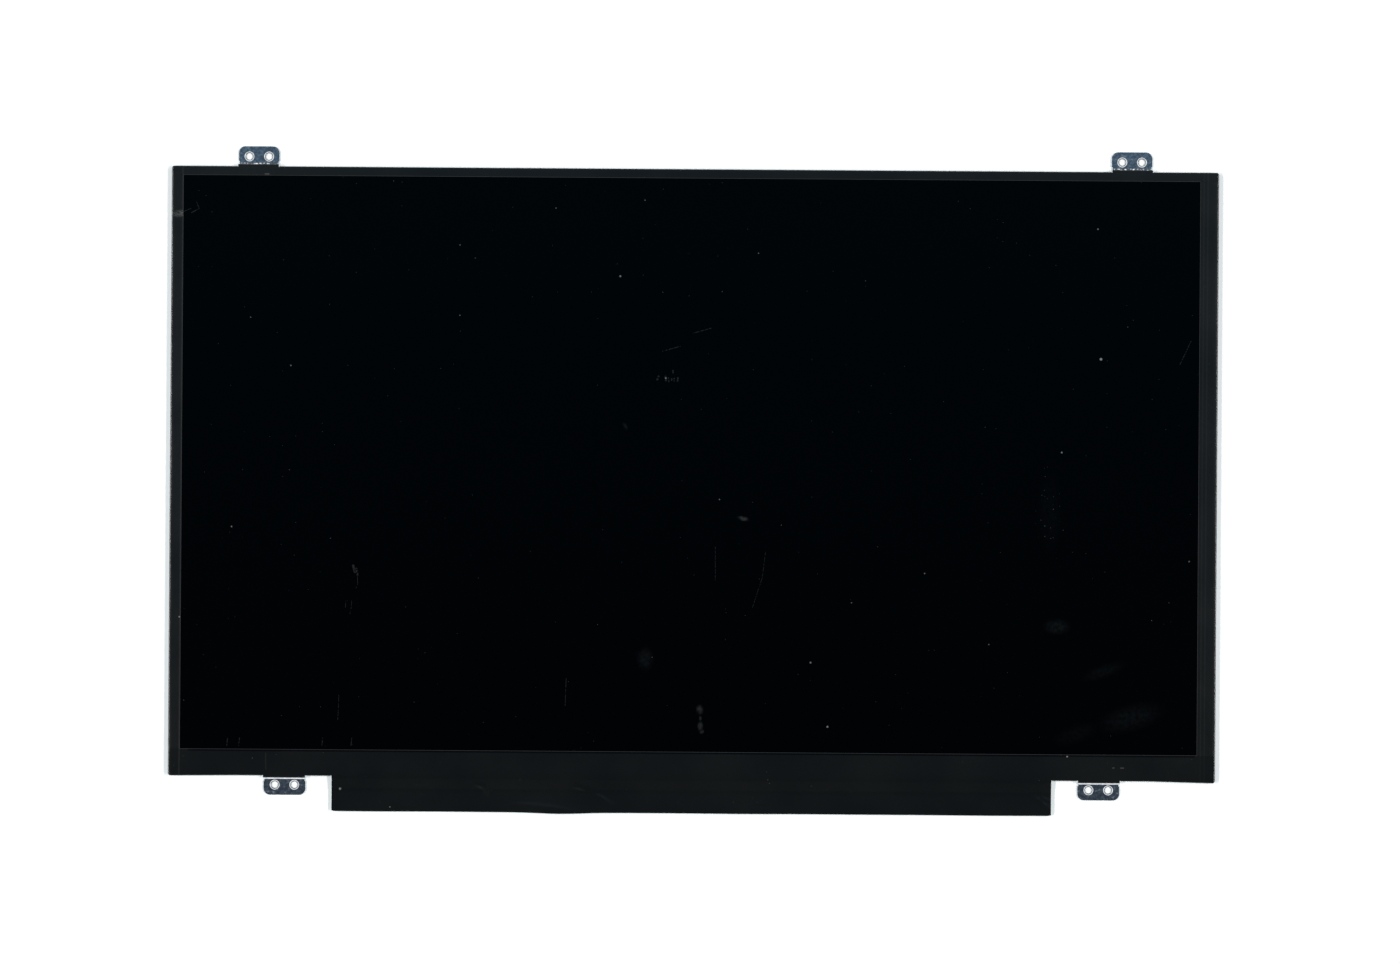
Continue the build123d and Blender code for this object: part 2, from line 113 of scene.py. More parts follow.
class Wire:
    """A socket in a material's tree. Sums on wires add Math nodes, and node() adds any other node."""

    def __init__(self, tree, out=None):
        self.tree = tree
        self.out = out

    def node(self, kind, settings=None, sockets=None, out=0):
        """Adds a node: its settings, then the values or wires of its sockets. Gives one of its outputs."""
        made = self.tree.nodes.new("ShaderNode" + kind)
        for name, value in (settings or {}).items():
            setattr(made, name, value)
        for name, value in (sockets or {}).items():
            if isinstance(value, Wire):
                self.tree.links.new(value.out, made.inputs[name])
            else:
                made.inputs[name].default_value = value
        return Wire(self.tree, made.outputs[out] if len(made.outputs) else None)

    def math(self, operation, first, second):
        return self.node("Math", {"operation": operation}, {0: first, 1: second})

    def __add__(self, other):
        return self.math("ADD", self, other)

    def __radd__(self, other):
        return self.math("ADD", other, self)

    def __sub__(self, other):
        return self.math("SUBTRACT", self, other)

    def __rsub__(self, other):
        return self.math("SUBTRACT", other, self)

    def __mul__(self, other):
        return self.math("MULTIPLY", self, other)

    def __rmul__(self, other):
        return self.math("MULTIPLY", other, self)

    def __or__(self, other):
        """The larger of two masks."""
        return self.math("MAXIMUM", self, other)

    def __gt__(self, limit):
        return self.math("GREATER_THAN", self, limit)

    def __lt__(self, limit):
        return self.math("LESS_THAN", self, limit)

    def __abs__(self):
        return self.math("ABSOLUTE", self, 0.0)

    def __mod__(self, step):
        return self.math("FLOORED_MODULO", self, step)

    def rise(self, low, high):
        """Smooth step: 0 up to low and 1 from high on."""
        ends = {"Value": self, "From Min": low, "From Max": high}
        return self.node("MapRange", {"interpolation_type": "SMOOTHSTEP"}, ends)

    def within(self, size):
        """1 at nothing, falling smoothly to 0 at a distance."""
        return 1 - self.rise(0.35 * size, size)

    def vector(self, operation, second, out=0):
        return self.node("VectorMath", {"operation": operation}, {0: self, 1: second}, out)

    def axis(self, name):
        return self.node("SeparateXYZ", {}, {0: self}, name)

    def flat(self):
        """The place without its height."""
        return self.vector("MULTIPLY", (1.0, 1.0, 0.0))

    def distance(self, x, y):
        """How far a flat place is from a point."""
        return self.vector("DISTANCE", (x, y, 0.0), "Value")

    def stretched(self, scale, turn=0.0):
        """The place stretched along two lines at right angles and along Z. The first line stands at a turn in
        degrees from X."""
        angle = {"Vector": self, "Angle": math.radians(-turn)}
        return self.node("VectorRotate", {"rotation_type": "Z_AXIS"}, angle).vector("MULTIPLY", scale)

    def noise(self, scale, detail=2.0):
        return self.node("TexNoise", {}, {"Vector": self, "Scale": scale, "Detail": detail})

    def mix(self, first, second):
        """One colour or another, by this mask."""
        ends = {0: self, 6: first, 7: second}
        return self.node("Mix", {"data_type": "RGBA"}, ends, 2)

    def dust(self, cells, size, share):
        """Small round specks: one in each cell of a scattered pattern, of which a share is kept."""
        settings = {"voronoi_dimensions": "3D"}
        sockets = {"Vector": self, "Scale": cells}
        near = self.node("TexVoronoi", settings, sockets, "Distance")
        pick = self.node("TexVoronoi", settings, sockets, "Color").axis("X")
        return near.within(size * cells) * (pick < share)

    def stroke(self, start, end, width):
        """A straight mark from one place to another: 1 along its middle, 0 beyond its width."""
        run = np.subtract(end, start)
        along = self.vector("SUBTRACT", (*start, 0.0))
        share = along.vector("DOT_PRODUCT", (*(run / (run @ run)), 0.0), "Value")
        share = self.node("Clamp", {}, {"Value": share})
        nearest = self.node("CombineXYZ", {}, {0: share * float(run[0]), 1: share * float(run[1])})
        return along.vector("DISTANCE", nearest, "Value").within(width)

    def blot(self, centre, across, turn=0.0):
        """A soft oval mark, 1 at its middle and 0 at its edge."""
        moved = self.vector("SUBTRACT", (*centre, 0.0))
        moved = moved.stretched((2.0 / across[0], 2.0 / across[1], 0.0), turn)
        return 1 - moved.vector("LENGTH", (0.0, 0.0, 0.0), "Value").rise(0.2, 1.0)


def begin(name):
    """An empty material, and the place on the piece in millimetres."""
    made = bpy.data.materials.new(name)
    made.use_nodes = True
    made.node_tree.nodes.clear()
    start = Wire(made.node_tree)
    place = start.node("TexCoord", {}, {}, "Object")
    return made, place.node("VectorMath", {"operation": "SCALE"}, {0: place, "Scale": 1.0 / MM})


def coat(made, place, sockets, height=None, depth=0.02):
    """Ends a material with its shader. A height in shares of a depth in millimetres gives its relief."""
    if height is not None:
        relief = {"Height": height, "Strength": 1.0, "Distance": depth * MM}
        sockets = {**sockets, "Normal": place.node("Bump", {}, relief)}
    shader = place.node("BsdfPrincipled", {}, sockets)
    place.node("OutputMaterial", {}, {"Surface": shader})
    return made


def paint(red, green, blue):
    return (red, green, blue, 1.0)


# Marks on the screen: specks (middle, width), scratches (ends, width), smudges (middle, size, turn, share)
SPECKS = (
    (124.4, 38.2, 0.65), (-22.8, 62.6, 0.48), (123.2, 78.0, 0.4), (112.6, 9.6, 0.45), (-141.2, -14.8, 0.4),
    (8.0, -5.5, 0.33), (70.9, -27.7, 0.35), (90.7, -49.3, 0.3), (36.2, -55.2, 0.45), (41.5, -74.8, 0.5),
    (19.4, 69.9, 0.3), (-42.6, 83.3, 0.3), (-15.4, 85.9, 0.3), (-123.4, 34.6, 0.35), (-135.8, 49.3, 0.3),
    (-71.9, 71.8, 0.3), (-71.8, 50.3, 0.3), (48.6, -36.8, 0.3), (151.8, -23.5, 0.35), (-8.7, 31.5, 0.42),
)
SCRATCHES = (
    ((-0.4, 45.3), (5.1, 46.9), 0.16), ((-9.8, 39.7), (-4.3, 41.3), 0.14),
    ((148.6, 36.8), (151.9, 43.9), 0.14), ((22.2, -21.6), (21.2, -29.5), 0.1),
    ((21.2, -29.5), (18.3, -38.5), 0.09), ((6.8, -19.6), (6.9, -30.3), 0.1),
    ((-103.9, -26.5), (-103.4, -28.4), 0.5), ((-102.9, -27.5), (-102.6, -29.4), 0.45),
    ((-102.6, -29.6), (-102.5, -32.1), 0.12), ((-102.5, -32.1), (-103.0, -33.5), 0.1),
    ((-106.1, -37.3), (-106.2, -39.3), 0.1), ((-104.3, -37.2), (-104.4, -39.3), 0.09),
    ((-104.4, -39.3), (-104.8, -41.2), 0.13), ((-38.5, -60.4), (-38.8, -68.9), 0.12),
    ((-108.0, -66.1), (-108.3, -73.7), 0.1), ((-11.3, 31.1), (-10.9, 32.0), 0.4),
    ((-8.8, 32.1), (-8.7, 30.8), 0.4), ((-7.9, 31.5), (-7.8, 30.5), 0.3), ((-6.9, 31.3), (-6.9, 30.9), 0.3),
    ((-6.1, 31.4), (-6.1, 30.7), 0.3), ((-5.1, 30.7), (-4.9, 31.6), 0.4), ((-6.5, 33.9), (-6.5, 33.0), 0.25),
    ((-156.4, 81.5), (-154.3, 82.4), 0.11), ((-154.1, 81.1), (-151.8, 82.4), 0.17),
    ((-152.7, 84.7), (-151.8, 82.5), 0.12),
    ((-142.2, -81.9), (-142.0, -79.6), 0.14), ((-138.6, -81.9), (-138.3, -79.4), 0.14),
    ((-113.1, -81.7), (-112.9, -79.3), 0.14), ((-104.2, -81.6), (-104.0, -79.2), 0.14),
)
SMUDGES = (
    ((15.3, -11.3), (4.6, 1.9), -12.0, 1.0), ((2.4, -69.8), (2.8, 3.9), 10.0, 0.75),
    ((2.6, -72.5), (1.2, 2.0), 0.0, 0.7), ((2.6, -74.9), (2.3, 3.9), -5.0, 0.85),
    ((3.1, -76.6), (2.0, 1.6), 30.0, 0.8), ((-14.4, -54.4), (6.5, 9.0), 0.0, 0.22),
    ((111.5, -43.7), (10.0, 6.0), 0.0, 0.24), ((134.3, -71.4), (25.0, 10.0), 15.0, 0.16),
    ((125.8, -57.3), (17.0, 5.0), 20.0, 0.12), ((-21.0, 16.7), (3.4, 1.6), -60.0, 0.3),
    ((109.0, -9.0), (9.0, 30.0), 0.0, 0.06), ((117.5, -76.5), (18.0, 7.0), 20.0, 0.08),
)

# Marks on the tapes: specks (middle, width), pale strokes (ends), a seam, pressed lines, half of a dark strip
TAPE_SPECKS = ((-107.5, -94.8, 0.5), (-92.2, -100.3, 0.22), (-157.0, -42.5, 0.3), (114.9, -83.4, 0.35))
TAPE_STROKES = (
    ((-131.6, 93.1), (-130.5, 93.1)), ((128.9, -86.8), (129.2, -86.8)), ((131.3, -86.8), (132.1, -86.8)),
)
TAPE_SEAM = ((-130.3, -84.0), (-130.2, -88.9))
TAPE_LINES = (155.6, 156.8)
STRIP_HALF = 154.0


def screen_finish():
    """Near-black polished film: fine dust, a cluster of it on the right, specks, scratches and dull smudges."""
    made, place = begin("near_black_screen")
    flat = place.flat()
    fine = flat.noise(0.9, 3.0)
    bright = flat.dust(0.16, 0.16, 0.5) * 0.5 | flat.dust(0.5, 0.11, 0.22) * 0.35
    for x, y, width in SPECKS:
        bright = bright | flat.distance(x, y).within(0.8 * width) * (2.0 * width)
    cluster = flat.blot((109.0, -9.0), (11.0, 40.0)) * flat.dust(1.1, 0.14, 0.4)
    bright = bright | cluster * 0.6
    cuts = flat.stroke(*SCRATCHES[0])
    for scratch in SCRATCHES[1:]:
        cuts = cuts | flat.stroke(*scratch)
    cuts = cuts * flat.noise(1.6, 2.0).rise(0.36, 0.56)
    smear = 0.0 * fine
    for centre, across, turn, level in SMUDGES:
        smear = smear | flat.blot(centre, across, turn) * level
    smear = smear * (0.35 + 0.65 * fine.rise(0.3, 0.62))
    veil = bright * 0.3 | cuts * 0.03 | smear * 0.035
    colour = veil.mix(paint(0.0, 0.0004, 0.0007), paint(0.42, 0.45, 0.46))
    dull = 0.09 + 0.2 * smear + 0.35 * bright + 0.15 * cuts
    return coat(made, place, {"Base Color": colour, "Roughness": dull, "IOR": 1.2})


def tape_finish():
    """Satin black polyester tape: cloudy unevenness, rubbed folds, dust, pale smears, a paler patch over a
    crease, pressed lines, a painted highlight along the cut edge at the window's left, a fine grain, and a dark
    strip along the window's lower edge."""
    made, place = begin("satin_black_tape")
    cloudy = place.noise(0.045, 3.0)
    grain = place.noise(5.0, 2.0)
    rub = place.stretched((0.25, 0.25, 2.0)).noise(1.0, 4.0).rise(0.5, 0.72)
    side = place.axis("Z")
    flat = place.flat()
    across, up = flat.axis("X"), flat.axis("Y")
    beside = (abs(across) > FLAP_HALF) | (up > BOTTOM + FOLD_START)
    folds = side.rise(3.12, 3.3) * (1 - side.rise(3.36, 3.41)) * rub * beside
    dust = flat.dust(0.22, 0.14, 0.5) * 0.5 | flat.dust(0.7, 0.09, 0.25) * 0.4
    for x, y, width in TAPE_SPECKS:
        dust = dust | flat.distance(x, y).within(width)
    streaks = flat.stretched((0.7, 4.0, 1.0), -20.0).noise(1.0, 2.0).rise(0.34, 0.62)
    smear = flat.blot((-156.6, 80.9), (10.0, 3.2), 4.0) * streaks
    for start, end in TAPE_STROKES:
        smear = smear | flat.stroke(start, end, 0.3) * 0.6
    # a paler, grainy patch over the crease on the flap
    lightened = flat.blot((-62.8, -95.5), (4.5, 6.0), 12.0) * grain.rise(0.4, 0.65)
    # painted highlight: a pale line along the tape's cut edge at the window's left side, in one mask with the
    # seam and the pressed lines
    lines = abs(across - WINDOW_LEFT + 0.2).within(0.35) | flat.stroke(*TAPE_SEAM, 0.3)
    for x in TAPE_LINES:
        lines = lines | abs(across - x).within(0.3) * 0.5
    lower = up < WINDOW_BOTTOM
    strip = lower * (up - WINDOW_BOTTOM).rise(-0.8, -0.5) * (abs(across) < STRIP_HALF)
    colour = cloudy.rise(0.3, 0.7).mix(paint(0.0021, 0.0027, 0.0026), paint(0.0034, 0.004, 0.0038))
    colour = strip.mix(colour, paint(0.0002, 0.0002, 0.0006))
    # lines holds the painted highlight at the window's left edge together with the seam and the pressed lines
    veil = dust * 0.35 | folds * 0.04 | smear * 0.11 | lightened * 0.018 | lines * 0.022
    veil = veil | lower * (1 - strip) * 0.005
    colour = veil.mix(colour, paint(0.34, 0.34, 0.33))
    dull = 0.13 - 0.04 * lower + 0.05 * cloudy + 0.3 * dust + 0.15 * smear + 0.1 * folds
    height = grain * 0.25 + place.noise(0.5, 2.0)
    return coat(made, place, {"Base Color": colour, "Roughness": dull}, height, 0.012)


def ear_finish():
    """Plated steel: mottled grey, rolled grain along the ear, stains, a painted ring of shade inside each hole
    rim, and painted highlights on the hole rims and bends, on the upper bends in patches with painted shade
    between."""
    made, place = begin("plated_steel_ear")
    grain = place.stretched((0.6, 14.0, 14.0)).noise(1.0, 3.0)
    stain = place.noise(0.9, 3.0).rise(0.52, 0.7)
    side = place.node("CombineXYZ", {}, {0: abs(place.axis("X")), 1: place.axis("Y")})
    ears = ((EAR_TOP[0], EAR_HOLE_TOP), (EAR_BOTTOM[0], EAR_HOLE_BOTTOM))
    steps = (-EAR_HOLE_STEP, EAR_HOLE_STEP)
    holes = [side.distance(middle + step, y) for middle, y in ears for step in steps]
    near = holes[0]
    for hole in holes[1:]:
        near = near.math("MINIMUM", near, hole)
    # painted shade: a dark ring on the inner part of each hole's bevel stands in for the shaded hole wall
    painted_hole_shade = 1 - near.rise(1.2, 1.32)
    bend = place.axis("Z").rise(1.01, 1.06)
    patchy = place.stretched((1.3, 1.8, 1.8)).noise(1.0, 3.0).rise(0.49, 0.6) | (place.axis("Y") < 0.0)
    # painted highlight: hole rims and bends are lightened towards white, on the upper ears only in patches
    lightened = (1 - near.rise(1.44, 1.54)) | bend * patchy
    mottled = place.noise(1.3, 4.0).rise(0.4, 0.6)
    colour = stain.mix(paint(0.33, 0.35, 0.4), paint(0.27, 0.28, 0.32))
    colour = (mottled * 0.75).mix(colour, paint(0.61, 0.67, 0.71))
    # painted shade: the upper bends are darkened where they have no painted highlight
    colour = (bend * (1 - patchy)).mix(colour, paint(0.07, 0.085, 0.1))
    # the painted highlight on the hole rims and bends
    colour = (lightened * (0.6 + 0.4 * mottled)).mix(colour, paint(0.93, 0.94, 0.95))
    # the painted ring of shade inside each hole rim
    colour = painted_hole_shade.mix(colour, paint(0.06, 0.06, 0.06))
    dull = 0.1 + 0.06 * grain + 0.06 * stain + 0.3 * painted_hole_shade
    return coat(made, place, {"Base Color": colour, "Metallic": 1.0, "Roughness": dull}, grain, 0.003)


def cover_finish():
    """Bare aluminium sheet: fine rolling lines, a few handling scratches, dull finger marks and stains."""
    made, place = begin("rolled_aluminium_cover")
    lines = place.stretched((0.05, 5.0, 5.0)).noise(1.0, 4.0)
    broad = place.noise(0.02, 4.0)
    marks = place.noise(0.04, 2.0).rise(0.5, 0.8)
    cuts = 0.0 * lines
    for scale, turn in (((0.05, 3.2, 1.0), 37.0), ((0.07, 2.8, 1.0), -61.0), ((0.04, 3.6, 1.0), 11.0)):
        cuts = cuts | place.stretched(scale, turn).noise(1.0, 2.0).rise(0.7, 0.8)
    colour = broad.rise(0.3, 0.7).mix(paint(0.56, 0.57, 0.59), paint(0.66, 0.67, 0.68))
    colour = (marks * 0.2).mix(colour, paint(0.48, 0.48, 0.47))
    colour = (cuts * 0.3).mix(colour, paint(0.8, 0.8, 0.8))
    dull = 0.26 + 0.16 * lines + 0.06 * marks + 0.1 * cuts
    height = lines - 0.3 * cuts
    return coat(made, place, {"Base Color": colour, "Metallic": 1.0, "Roughness": dull}, height, 0.008)


def board_finish():
    """Green solder mask with copper tracks under it, tinned vias with painted shade in their open middles,
    solder pads round the chips and under the ends of the small parts, and bare glass fibre along the cut edges."""
    made, place = begin("green_board")
    x, y = place.axis("X"), place.axis("Y")
    flat = place.flat()
    area = flat.noise(0.22, 1.0)
    tracks = abs((y + 0.5 * area) % 0.55 - 0.27).within(0.16) * area.rise(0.42, 0.5)
    risers = abs((x + 0.3 * area) % 0.8 - 0.4).within(0.18) * (1 - area.rise(0.36, 0.42))
    copper = tracks | risers | area.rise(0.62, 0.64)
    vias = flat.dust(0.45, 0.3, 0.35)
    # painted shade: a dark dot in the middle of each via stands for its open hole
    via_hole_shade = flat.dust(0.45, 0.13, 0.35)
    pads = 0.0 * x
    for chip in CHIPS:
        low, high = (np.array(end[:2]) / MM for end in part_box(chip))
        out_x = abs(x - float(low[0] + high[0]) / 2) - float(high[0] - low[0]) / 2
        out_y = abs(y - float(low[1] + high[1]) / 2) - float(high[1] - low[1]) / 2
        rows = (out_y > 0.0) * (out_x < -0.3) * (abs(x % 0.65 - 0.33) < 0.17)
        columns = (out_x > 0.0) * (out_y < -0.3) * (abs(y % 0.65 - 0.33) < 0.17)
        pads = pads | ((out_x | out_y) < 0.45) * (rows | columns)
    for fields, columns, rows, (length, depth, _) in (CAPACITORS, RESISTORS):
        from_mid = y - BOARD_MID_Y
        lane = abs((from_mid + PITCH[1] * rows / 2) % PITCH[1] - PITCH[1] / 2) < depth / 2 + 0.12
        lane = lane * (abs(from_mid) < PITCH[1] * rows / 2)
        for field in fields:
            beside = x - field * BOARD_X
            end = abs(abs((beside + PITCH[0] * columns / 2) % PITCH[0] - PITCH[0] / 2) - length / 2) < 0.28
            pads = pads | lane * end * (abs(beside) < PITCH[0] * columns / 2)
    rim = abs(x).rise(BOARD_X - 0.02, BOARD_X - 0.01)
    rim = rim | (1 - y.rise(BOARD_Y[0] + 0.01, BOARD_Y[0] + 0.02))
    rim = rim | y.rise(BOARD_Y[1] - 0.02, BOARD_Y[1] - 0.01)
    colour = copper.mix(paint(0.008, 0.055, 0.022), paint(0.02, 0.12, 0.045))
    colour = vias.mix(colour, paint(0.62, 0.6, 0.55))
    # the painted shade in each via's hole
    colour = via_hole_shade.mix(colour, paint(0.02, 0.02, 0.02))
    colour = pads.mix(colour, paint(0.66, 0.65, 0.62))
    fibre = place.stretched((0.4, 0.4, 6.0)).noise(1.0, 3.0)
    colour = rim.mix(colour, fibre.mix(paint(0.24, 0.2, 0.1), paint(0.4, 0.36, 0.22)))
    dull = 0.3 + 0.1 * area + 0.35 * rim - 0.08 * pads
    height = (1 - pads) * (copper + 0.4 * vias - via_hole_shade) + 2.0 * pads
    return coat(made, place, {"Base Color": colour, "Metallic": pads, "Roughness": dull}, height, 0.03)


def moulded_finish(name, colour, lighter, dull, grain=6.0, depth=0.015):
    """Moulded plastic, resin or ceramic: a fine even grain with cloudy unevenness of colour and gloss."""
    made, place = begin(name)
    fine = place.noise(grain, 2.0)
    cloudy = place.noise(0.3, 3.0)
    mixed = cloudy.rise(0.3, 0.7).mix(paint(*colour), paint(*lighter))
    return coat(made, place, {"Base Color": mixed, "Roughness": dull + 0.12 * fine}, fine, depth)


def chip_finish(name, x, dot):
    """Black moulded package with a fine grain, and a small pressed dot beside its first lead."""
    made, place = begin(name)
    fine = place.noise(9.0, 2.0)
    pressed = place.flat().distance(x - dot, BOARD_MID_Y + dot).within(0.45)
    colour = pressed.mix(paint(0.012, 0.012, 0.013), paint(0.006, 0.006, 0.006))
    dull = 0.5 + 0.15 * fine - 0.3 * pressed
    return coat(made, place, {"Base Color": colour, "Roughness": dull}, fine - 2.0 * pressed, 0.012)


def metal_finish(name, colour, darker, dull):
    """Plated or drawn metal: fine lines along it and a little tarnish."""
    made, place = begin(name)
    lines = place.stretched((8.0, 0.5, 8.0)).noise(1.0, 3.0)
    tarnish = place.noise(0.8, 3.0).rise(0.45, 0.75)
    mixed = tarnish.mix(paint(*colour), paint(*darker))
    sockets = {"Base Color": mixed, "Metallic": 1.0, "Roughness": dull + 0.15 * lines}
    return coat(made, place, sockets, lines, 0.004)


def flex_finish():
    """Amber polyimide film with fine copper tracks running along it."""
    made, place = begin("amber_flex_film")
    tracks = abs(place.axis("X") % 0.3 - 0.15).within(0.1)
    cloudy = place.noise(0.4, 2.0)
    colour = tracks.mix(paint(0.3, 0.11, 0.015), paint(0.42, 0.19, 0.06))
    return coat(made, place, {"Base Color": colour, "Roughness": 0.22 + 0.12 * cloudy}, tracks, 0.01)


def sheet_finish(name, colour, lighter, dull):
    """Thin film, glass or sheet: even, with faint handling haze."""
    made, place = begin(name)
    haze = place.noise(0.06, 3.0)
    mixed = haze.rise(0.3, 0.7).mix(paint(*colour), paint(*lighter))
    return coat(made, place, {"Base Color": mixed, "Roughness": dull + 0.1 * haze})


def ended_finish(name, body, gloss):
    """Small ceramic part: coloured body between two tinned ends, which the piece's own attribute marks."""
    made, place = begin(name)
    tinned = place.node("Attribute", {"attribute_name": "tinned"}, {}, "Fac")
    fine = place.noise(7.0, 2.0)
    dark = tuple(0.75 * part for part in body)
    colour = fine.rise(0.35, 0.65).mix(paint(*dark), paint(*body))
    colour = tinned.mix(colour, paint(0.72, 0.71, 0.69))
    dull = (1 - tinned) * gloss + 0.2 * tinned + 0.14 * fine
    return coat(made, place, {"Base Color": colour, "Metallic": tinned, "Roughness": dull}, fine, 0.01)


def add_piece(name, points, faces, finish, stands_for=(), attribute=None):
    """Makes one mesh piece from points in millimetres and lists of corners, and fixes it to the panel."""
    mesh = bpy.data.meshes.new(name)
    mesh.from_pydata((points * MM).tolist(), [], faces)
    if attribute is not None:
        tinned = mesh.attributes.new("tinned", "FLOAT", "POINT")
        tinned.data.foreach_set("value", attribute.astype(np.float32))
    mesh.shade_smooth()
    mesh.set_sharp_from_angle(angle=math.radians(38))
    mesh.materials.append(finish)
    piece = bpy.data.objects.new(name, mesh)
    bpy.context.collection.objects.link(piece)
    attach(piece, "root")
    if stands_for:
        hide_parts(*stands_for)


def closed_sheet(outer, inner, keep):
    """Points and faces of a thin sheet: the kept squares of an outer grid, the same squares of an inner grid
    turned round, and a rim square along each side that only one kept square has."""
    index = np.arange(outer.shape[0] * outer.shape[1]).reshape(outer.shape[:2])
    squares = np.stack([index[:-1, :-1], index[1:, :-1], index[1:, 1:], index[:-1, 1:]], axis=-1)[keep]
    points = np.concatenate([outer.reshape(-1, 3), inner.reshape(-1, 3)])
    corner = points[squares]
    facing = np.cross(corner[:, 1] - corner[:, 0], corner[:, 3] - corner[:, 0])
    away = points[squares[:, 0]] - points[squares[:, 0] + index.size]
    if (facing * away).sum() < 0:
        squares = squares[:, ::-1]
    sides = squares[:, [[0, 1], [1, 2], [2, 3], [3, 0]]].reshape(-1, 2)
    key = sides.min(axis=1) * index.size + sides.max(axis=1)
    _, which, uses = np.unique(key, return_inverse=True, return_counts=True)
    free = sides[uses[which] == 1]
    rim = np.stack([free[:, 1], free[:, 0], free[:, 0] + index.size, free[:, 1] + index.size], axis=-1)
    faces = np.concatenate([squares, squares[:, ::-1] + index.size, rim])
    used, packed = np.unique(faces, return_inverse=True)
    return points[used], packed.reshape(faces.shape).tolist()


def stations(stops, step):
    """Places from stop to stop, evenly spaced by no more than a step, with every stop kept."""
    counts = [max(1, math.ceil(abs(b - a) / step)) for a, b in zip(stops, stops[1:])]
    runs = [np.linspace(a, b, n + 1)[:-1] for a, b, n in zip(stops, stops[1:], counts)]
    return np.concatenate([*runs, stops[-1:]])


ROWS = 36
ARC_ROWS = 9
DOWN_ROWS = 8


def folded(count, back=TAPE_BACK):
    """Tape over an edge as distance inwards and height: quarter round, down, quarter round, back arm."""
    turn = np.linspace(0, np.pi / 2, ARC_ROWS)
    half_t = TAPE_T / 2
    arm = ROWS - 2 * ARC_ROWS - DOWN_ROWS
    foot = TAPE_BACK_Z + BEND_R
    down = np.linspace(TAPE_Z - FOLD_R, foot, DOWN_ROWS + 2)[1:-1]
    inwards = np.concatenate([
        half_t + FOLD_R * (1 - np.sin(turn)), np.full(DOWN_ROWS, half_t),
        half_t + BEND_R * (1 - np.cos(turn)), np.linspace(half_t + BEND_R, back, arm + 1)[1:],
    ])
    height = np.concatenate([
        TAPE_Z - FOLD_R * (1 - np.cos(turn)), down,
        foot - BEND_R * np.sin(turn), np.full(arm, TAPE_BACK_Z),
    ])
    return np.tile(inwards, (count, 1)), np.tile(height, (count, 1))


def over_ear(count):
    """Tape over an ear's leg: straight out, quarter round, and down to just above the ear's bend."""
    turn = np.linspace(0, np.pi / 2, ARC_ROWS)
    out = ROWS - ARC_ROWS - DOWN_ROWS
    lead = np.linspace(FOLD_START, FOLD_R - EAR_OUT, out + 1)[:-1]
    inwards = np.concatenate([lead, FOLD_R * (1 - np.sin(turn)) - EAR_OUT, np.full(DOWN_ROWS, -EAR_OUT)])
    down = np.linspace(TAPE_Z - FOLD_R, EAR_TAPE_END, DOWN_ROWS + 1)[1:]
    height = np.concatenate([np.full(out, TAPE_Z), TAPE_Z - FOLD_R * (1 - np.cos(turn)), down])
    return np.tile(inwards, (count, 1)), np.tile(height, (count, 1))


def ridge(x, y, start, end, bow, height, width):
    """A soft crease in a film: a bell-shaped ridge along a bowed line, fading out at both ends."""
    run = np.subtract(end, start)
    length = np.hypot(*run)
    along = ((x - start[0]) * run[0] + (y - start[1]) * run[1]) / length ** 2
    across = ((y - start[1]) * run[0] - (x - start[0]) * run[1]) / length
    bell = np.exp(-((across - bow * 4 * along * (1 - along)) / width) ** 2)
    return height * bell * np.clip(1 - np.abs(2 * along - 1) ** 3, 0, None) * ((along > 0) & (along < 1))


def ripple(x, y, seed, length):
    """Gentle waves from 0 to 1: seven sines in scattered directions, about a length from crest to crest."""
    draw = np.random.default_rng(seed)
    total = np.zeros(np.broadcast(x, y).shape)
    for turn, start, pace in draw.random((7, 3)):
        across = x * np.cos(np.pi * turn) + y * np.sin(np.pi * turn)
        total += np.sin(2 * np.pi * (across / (length * (0.6 + pace)) + start))
    return np.clip(0.5 + total / 9, 0, 1)


def eased(share, width):
    """A straight rise from 0 to 1 with rounded ends: the rise averaged over a width."""
    def area(at):
        return np.clip(at, 0, 1) ** 2 / 2 + np.clip(at - 1, 0, None)

    return (area(share + width / 2) - area(share - width / 2)) / width


def flap(x):
    """The flap's film: from the border it slopes down to the board, and runs flat to its free end."""
    share = np.linspace(0, 1, ROWS)
    edge = 0.42 * np.exp(-((x + 40.0) / 9.0) ** 2) + 0.14 * ripple(x, 0 * x, 5, 45.0) - 0.1
    edge -= 0.25 * np.clip(1 - (FLAP_HALF - np.abs(x)) / 0.7, 0, 1) ** 2
    inwards = FOLD_START - share * (FOLD_START + FLAP_REACH + edge[:, None])
    height = TAPE_Z - FLAP_DROP * eased(-inwards / FLAP_LAND, 0.3)
    across = np.broadcast_to(x[:, None], height.shape)
    y = BOTTOM + inwards
    loose = np.clip(-inwards / FLAP_REACH, 0, 1)
    height = height + 0.07 * loose * ripple(across, y, 3, 22.0)
    height = height + ridge(across, y, (-36.5, -93.2), (-22.3, -101.0), 0.9, 0.07, 0.6)
    height = height + ridge(across, y, (103.5, -95.0), (110.6, -101.0), 0.5, 0.08, 0.55)
    height = height + ridge(across, y, (105.8, -94.5), (110.6, -97.6), -0.4, 0.06, 0.45)
    height = height + ridge(across, y, (-66.0, -92.8), (-61.5, -96.6), 0.5, 0.06, 0.5)
    height = height + ridge(across, y, (-56.0, -99.2), (-34.0, -101.9), 0.6, 0.05, 0.8)
    return inwards, height


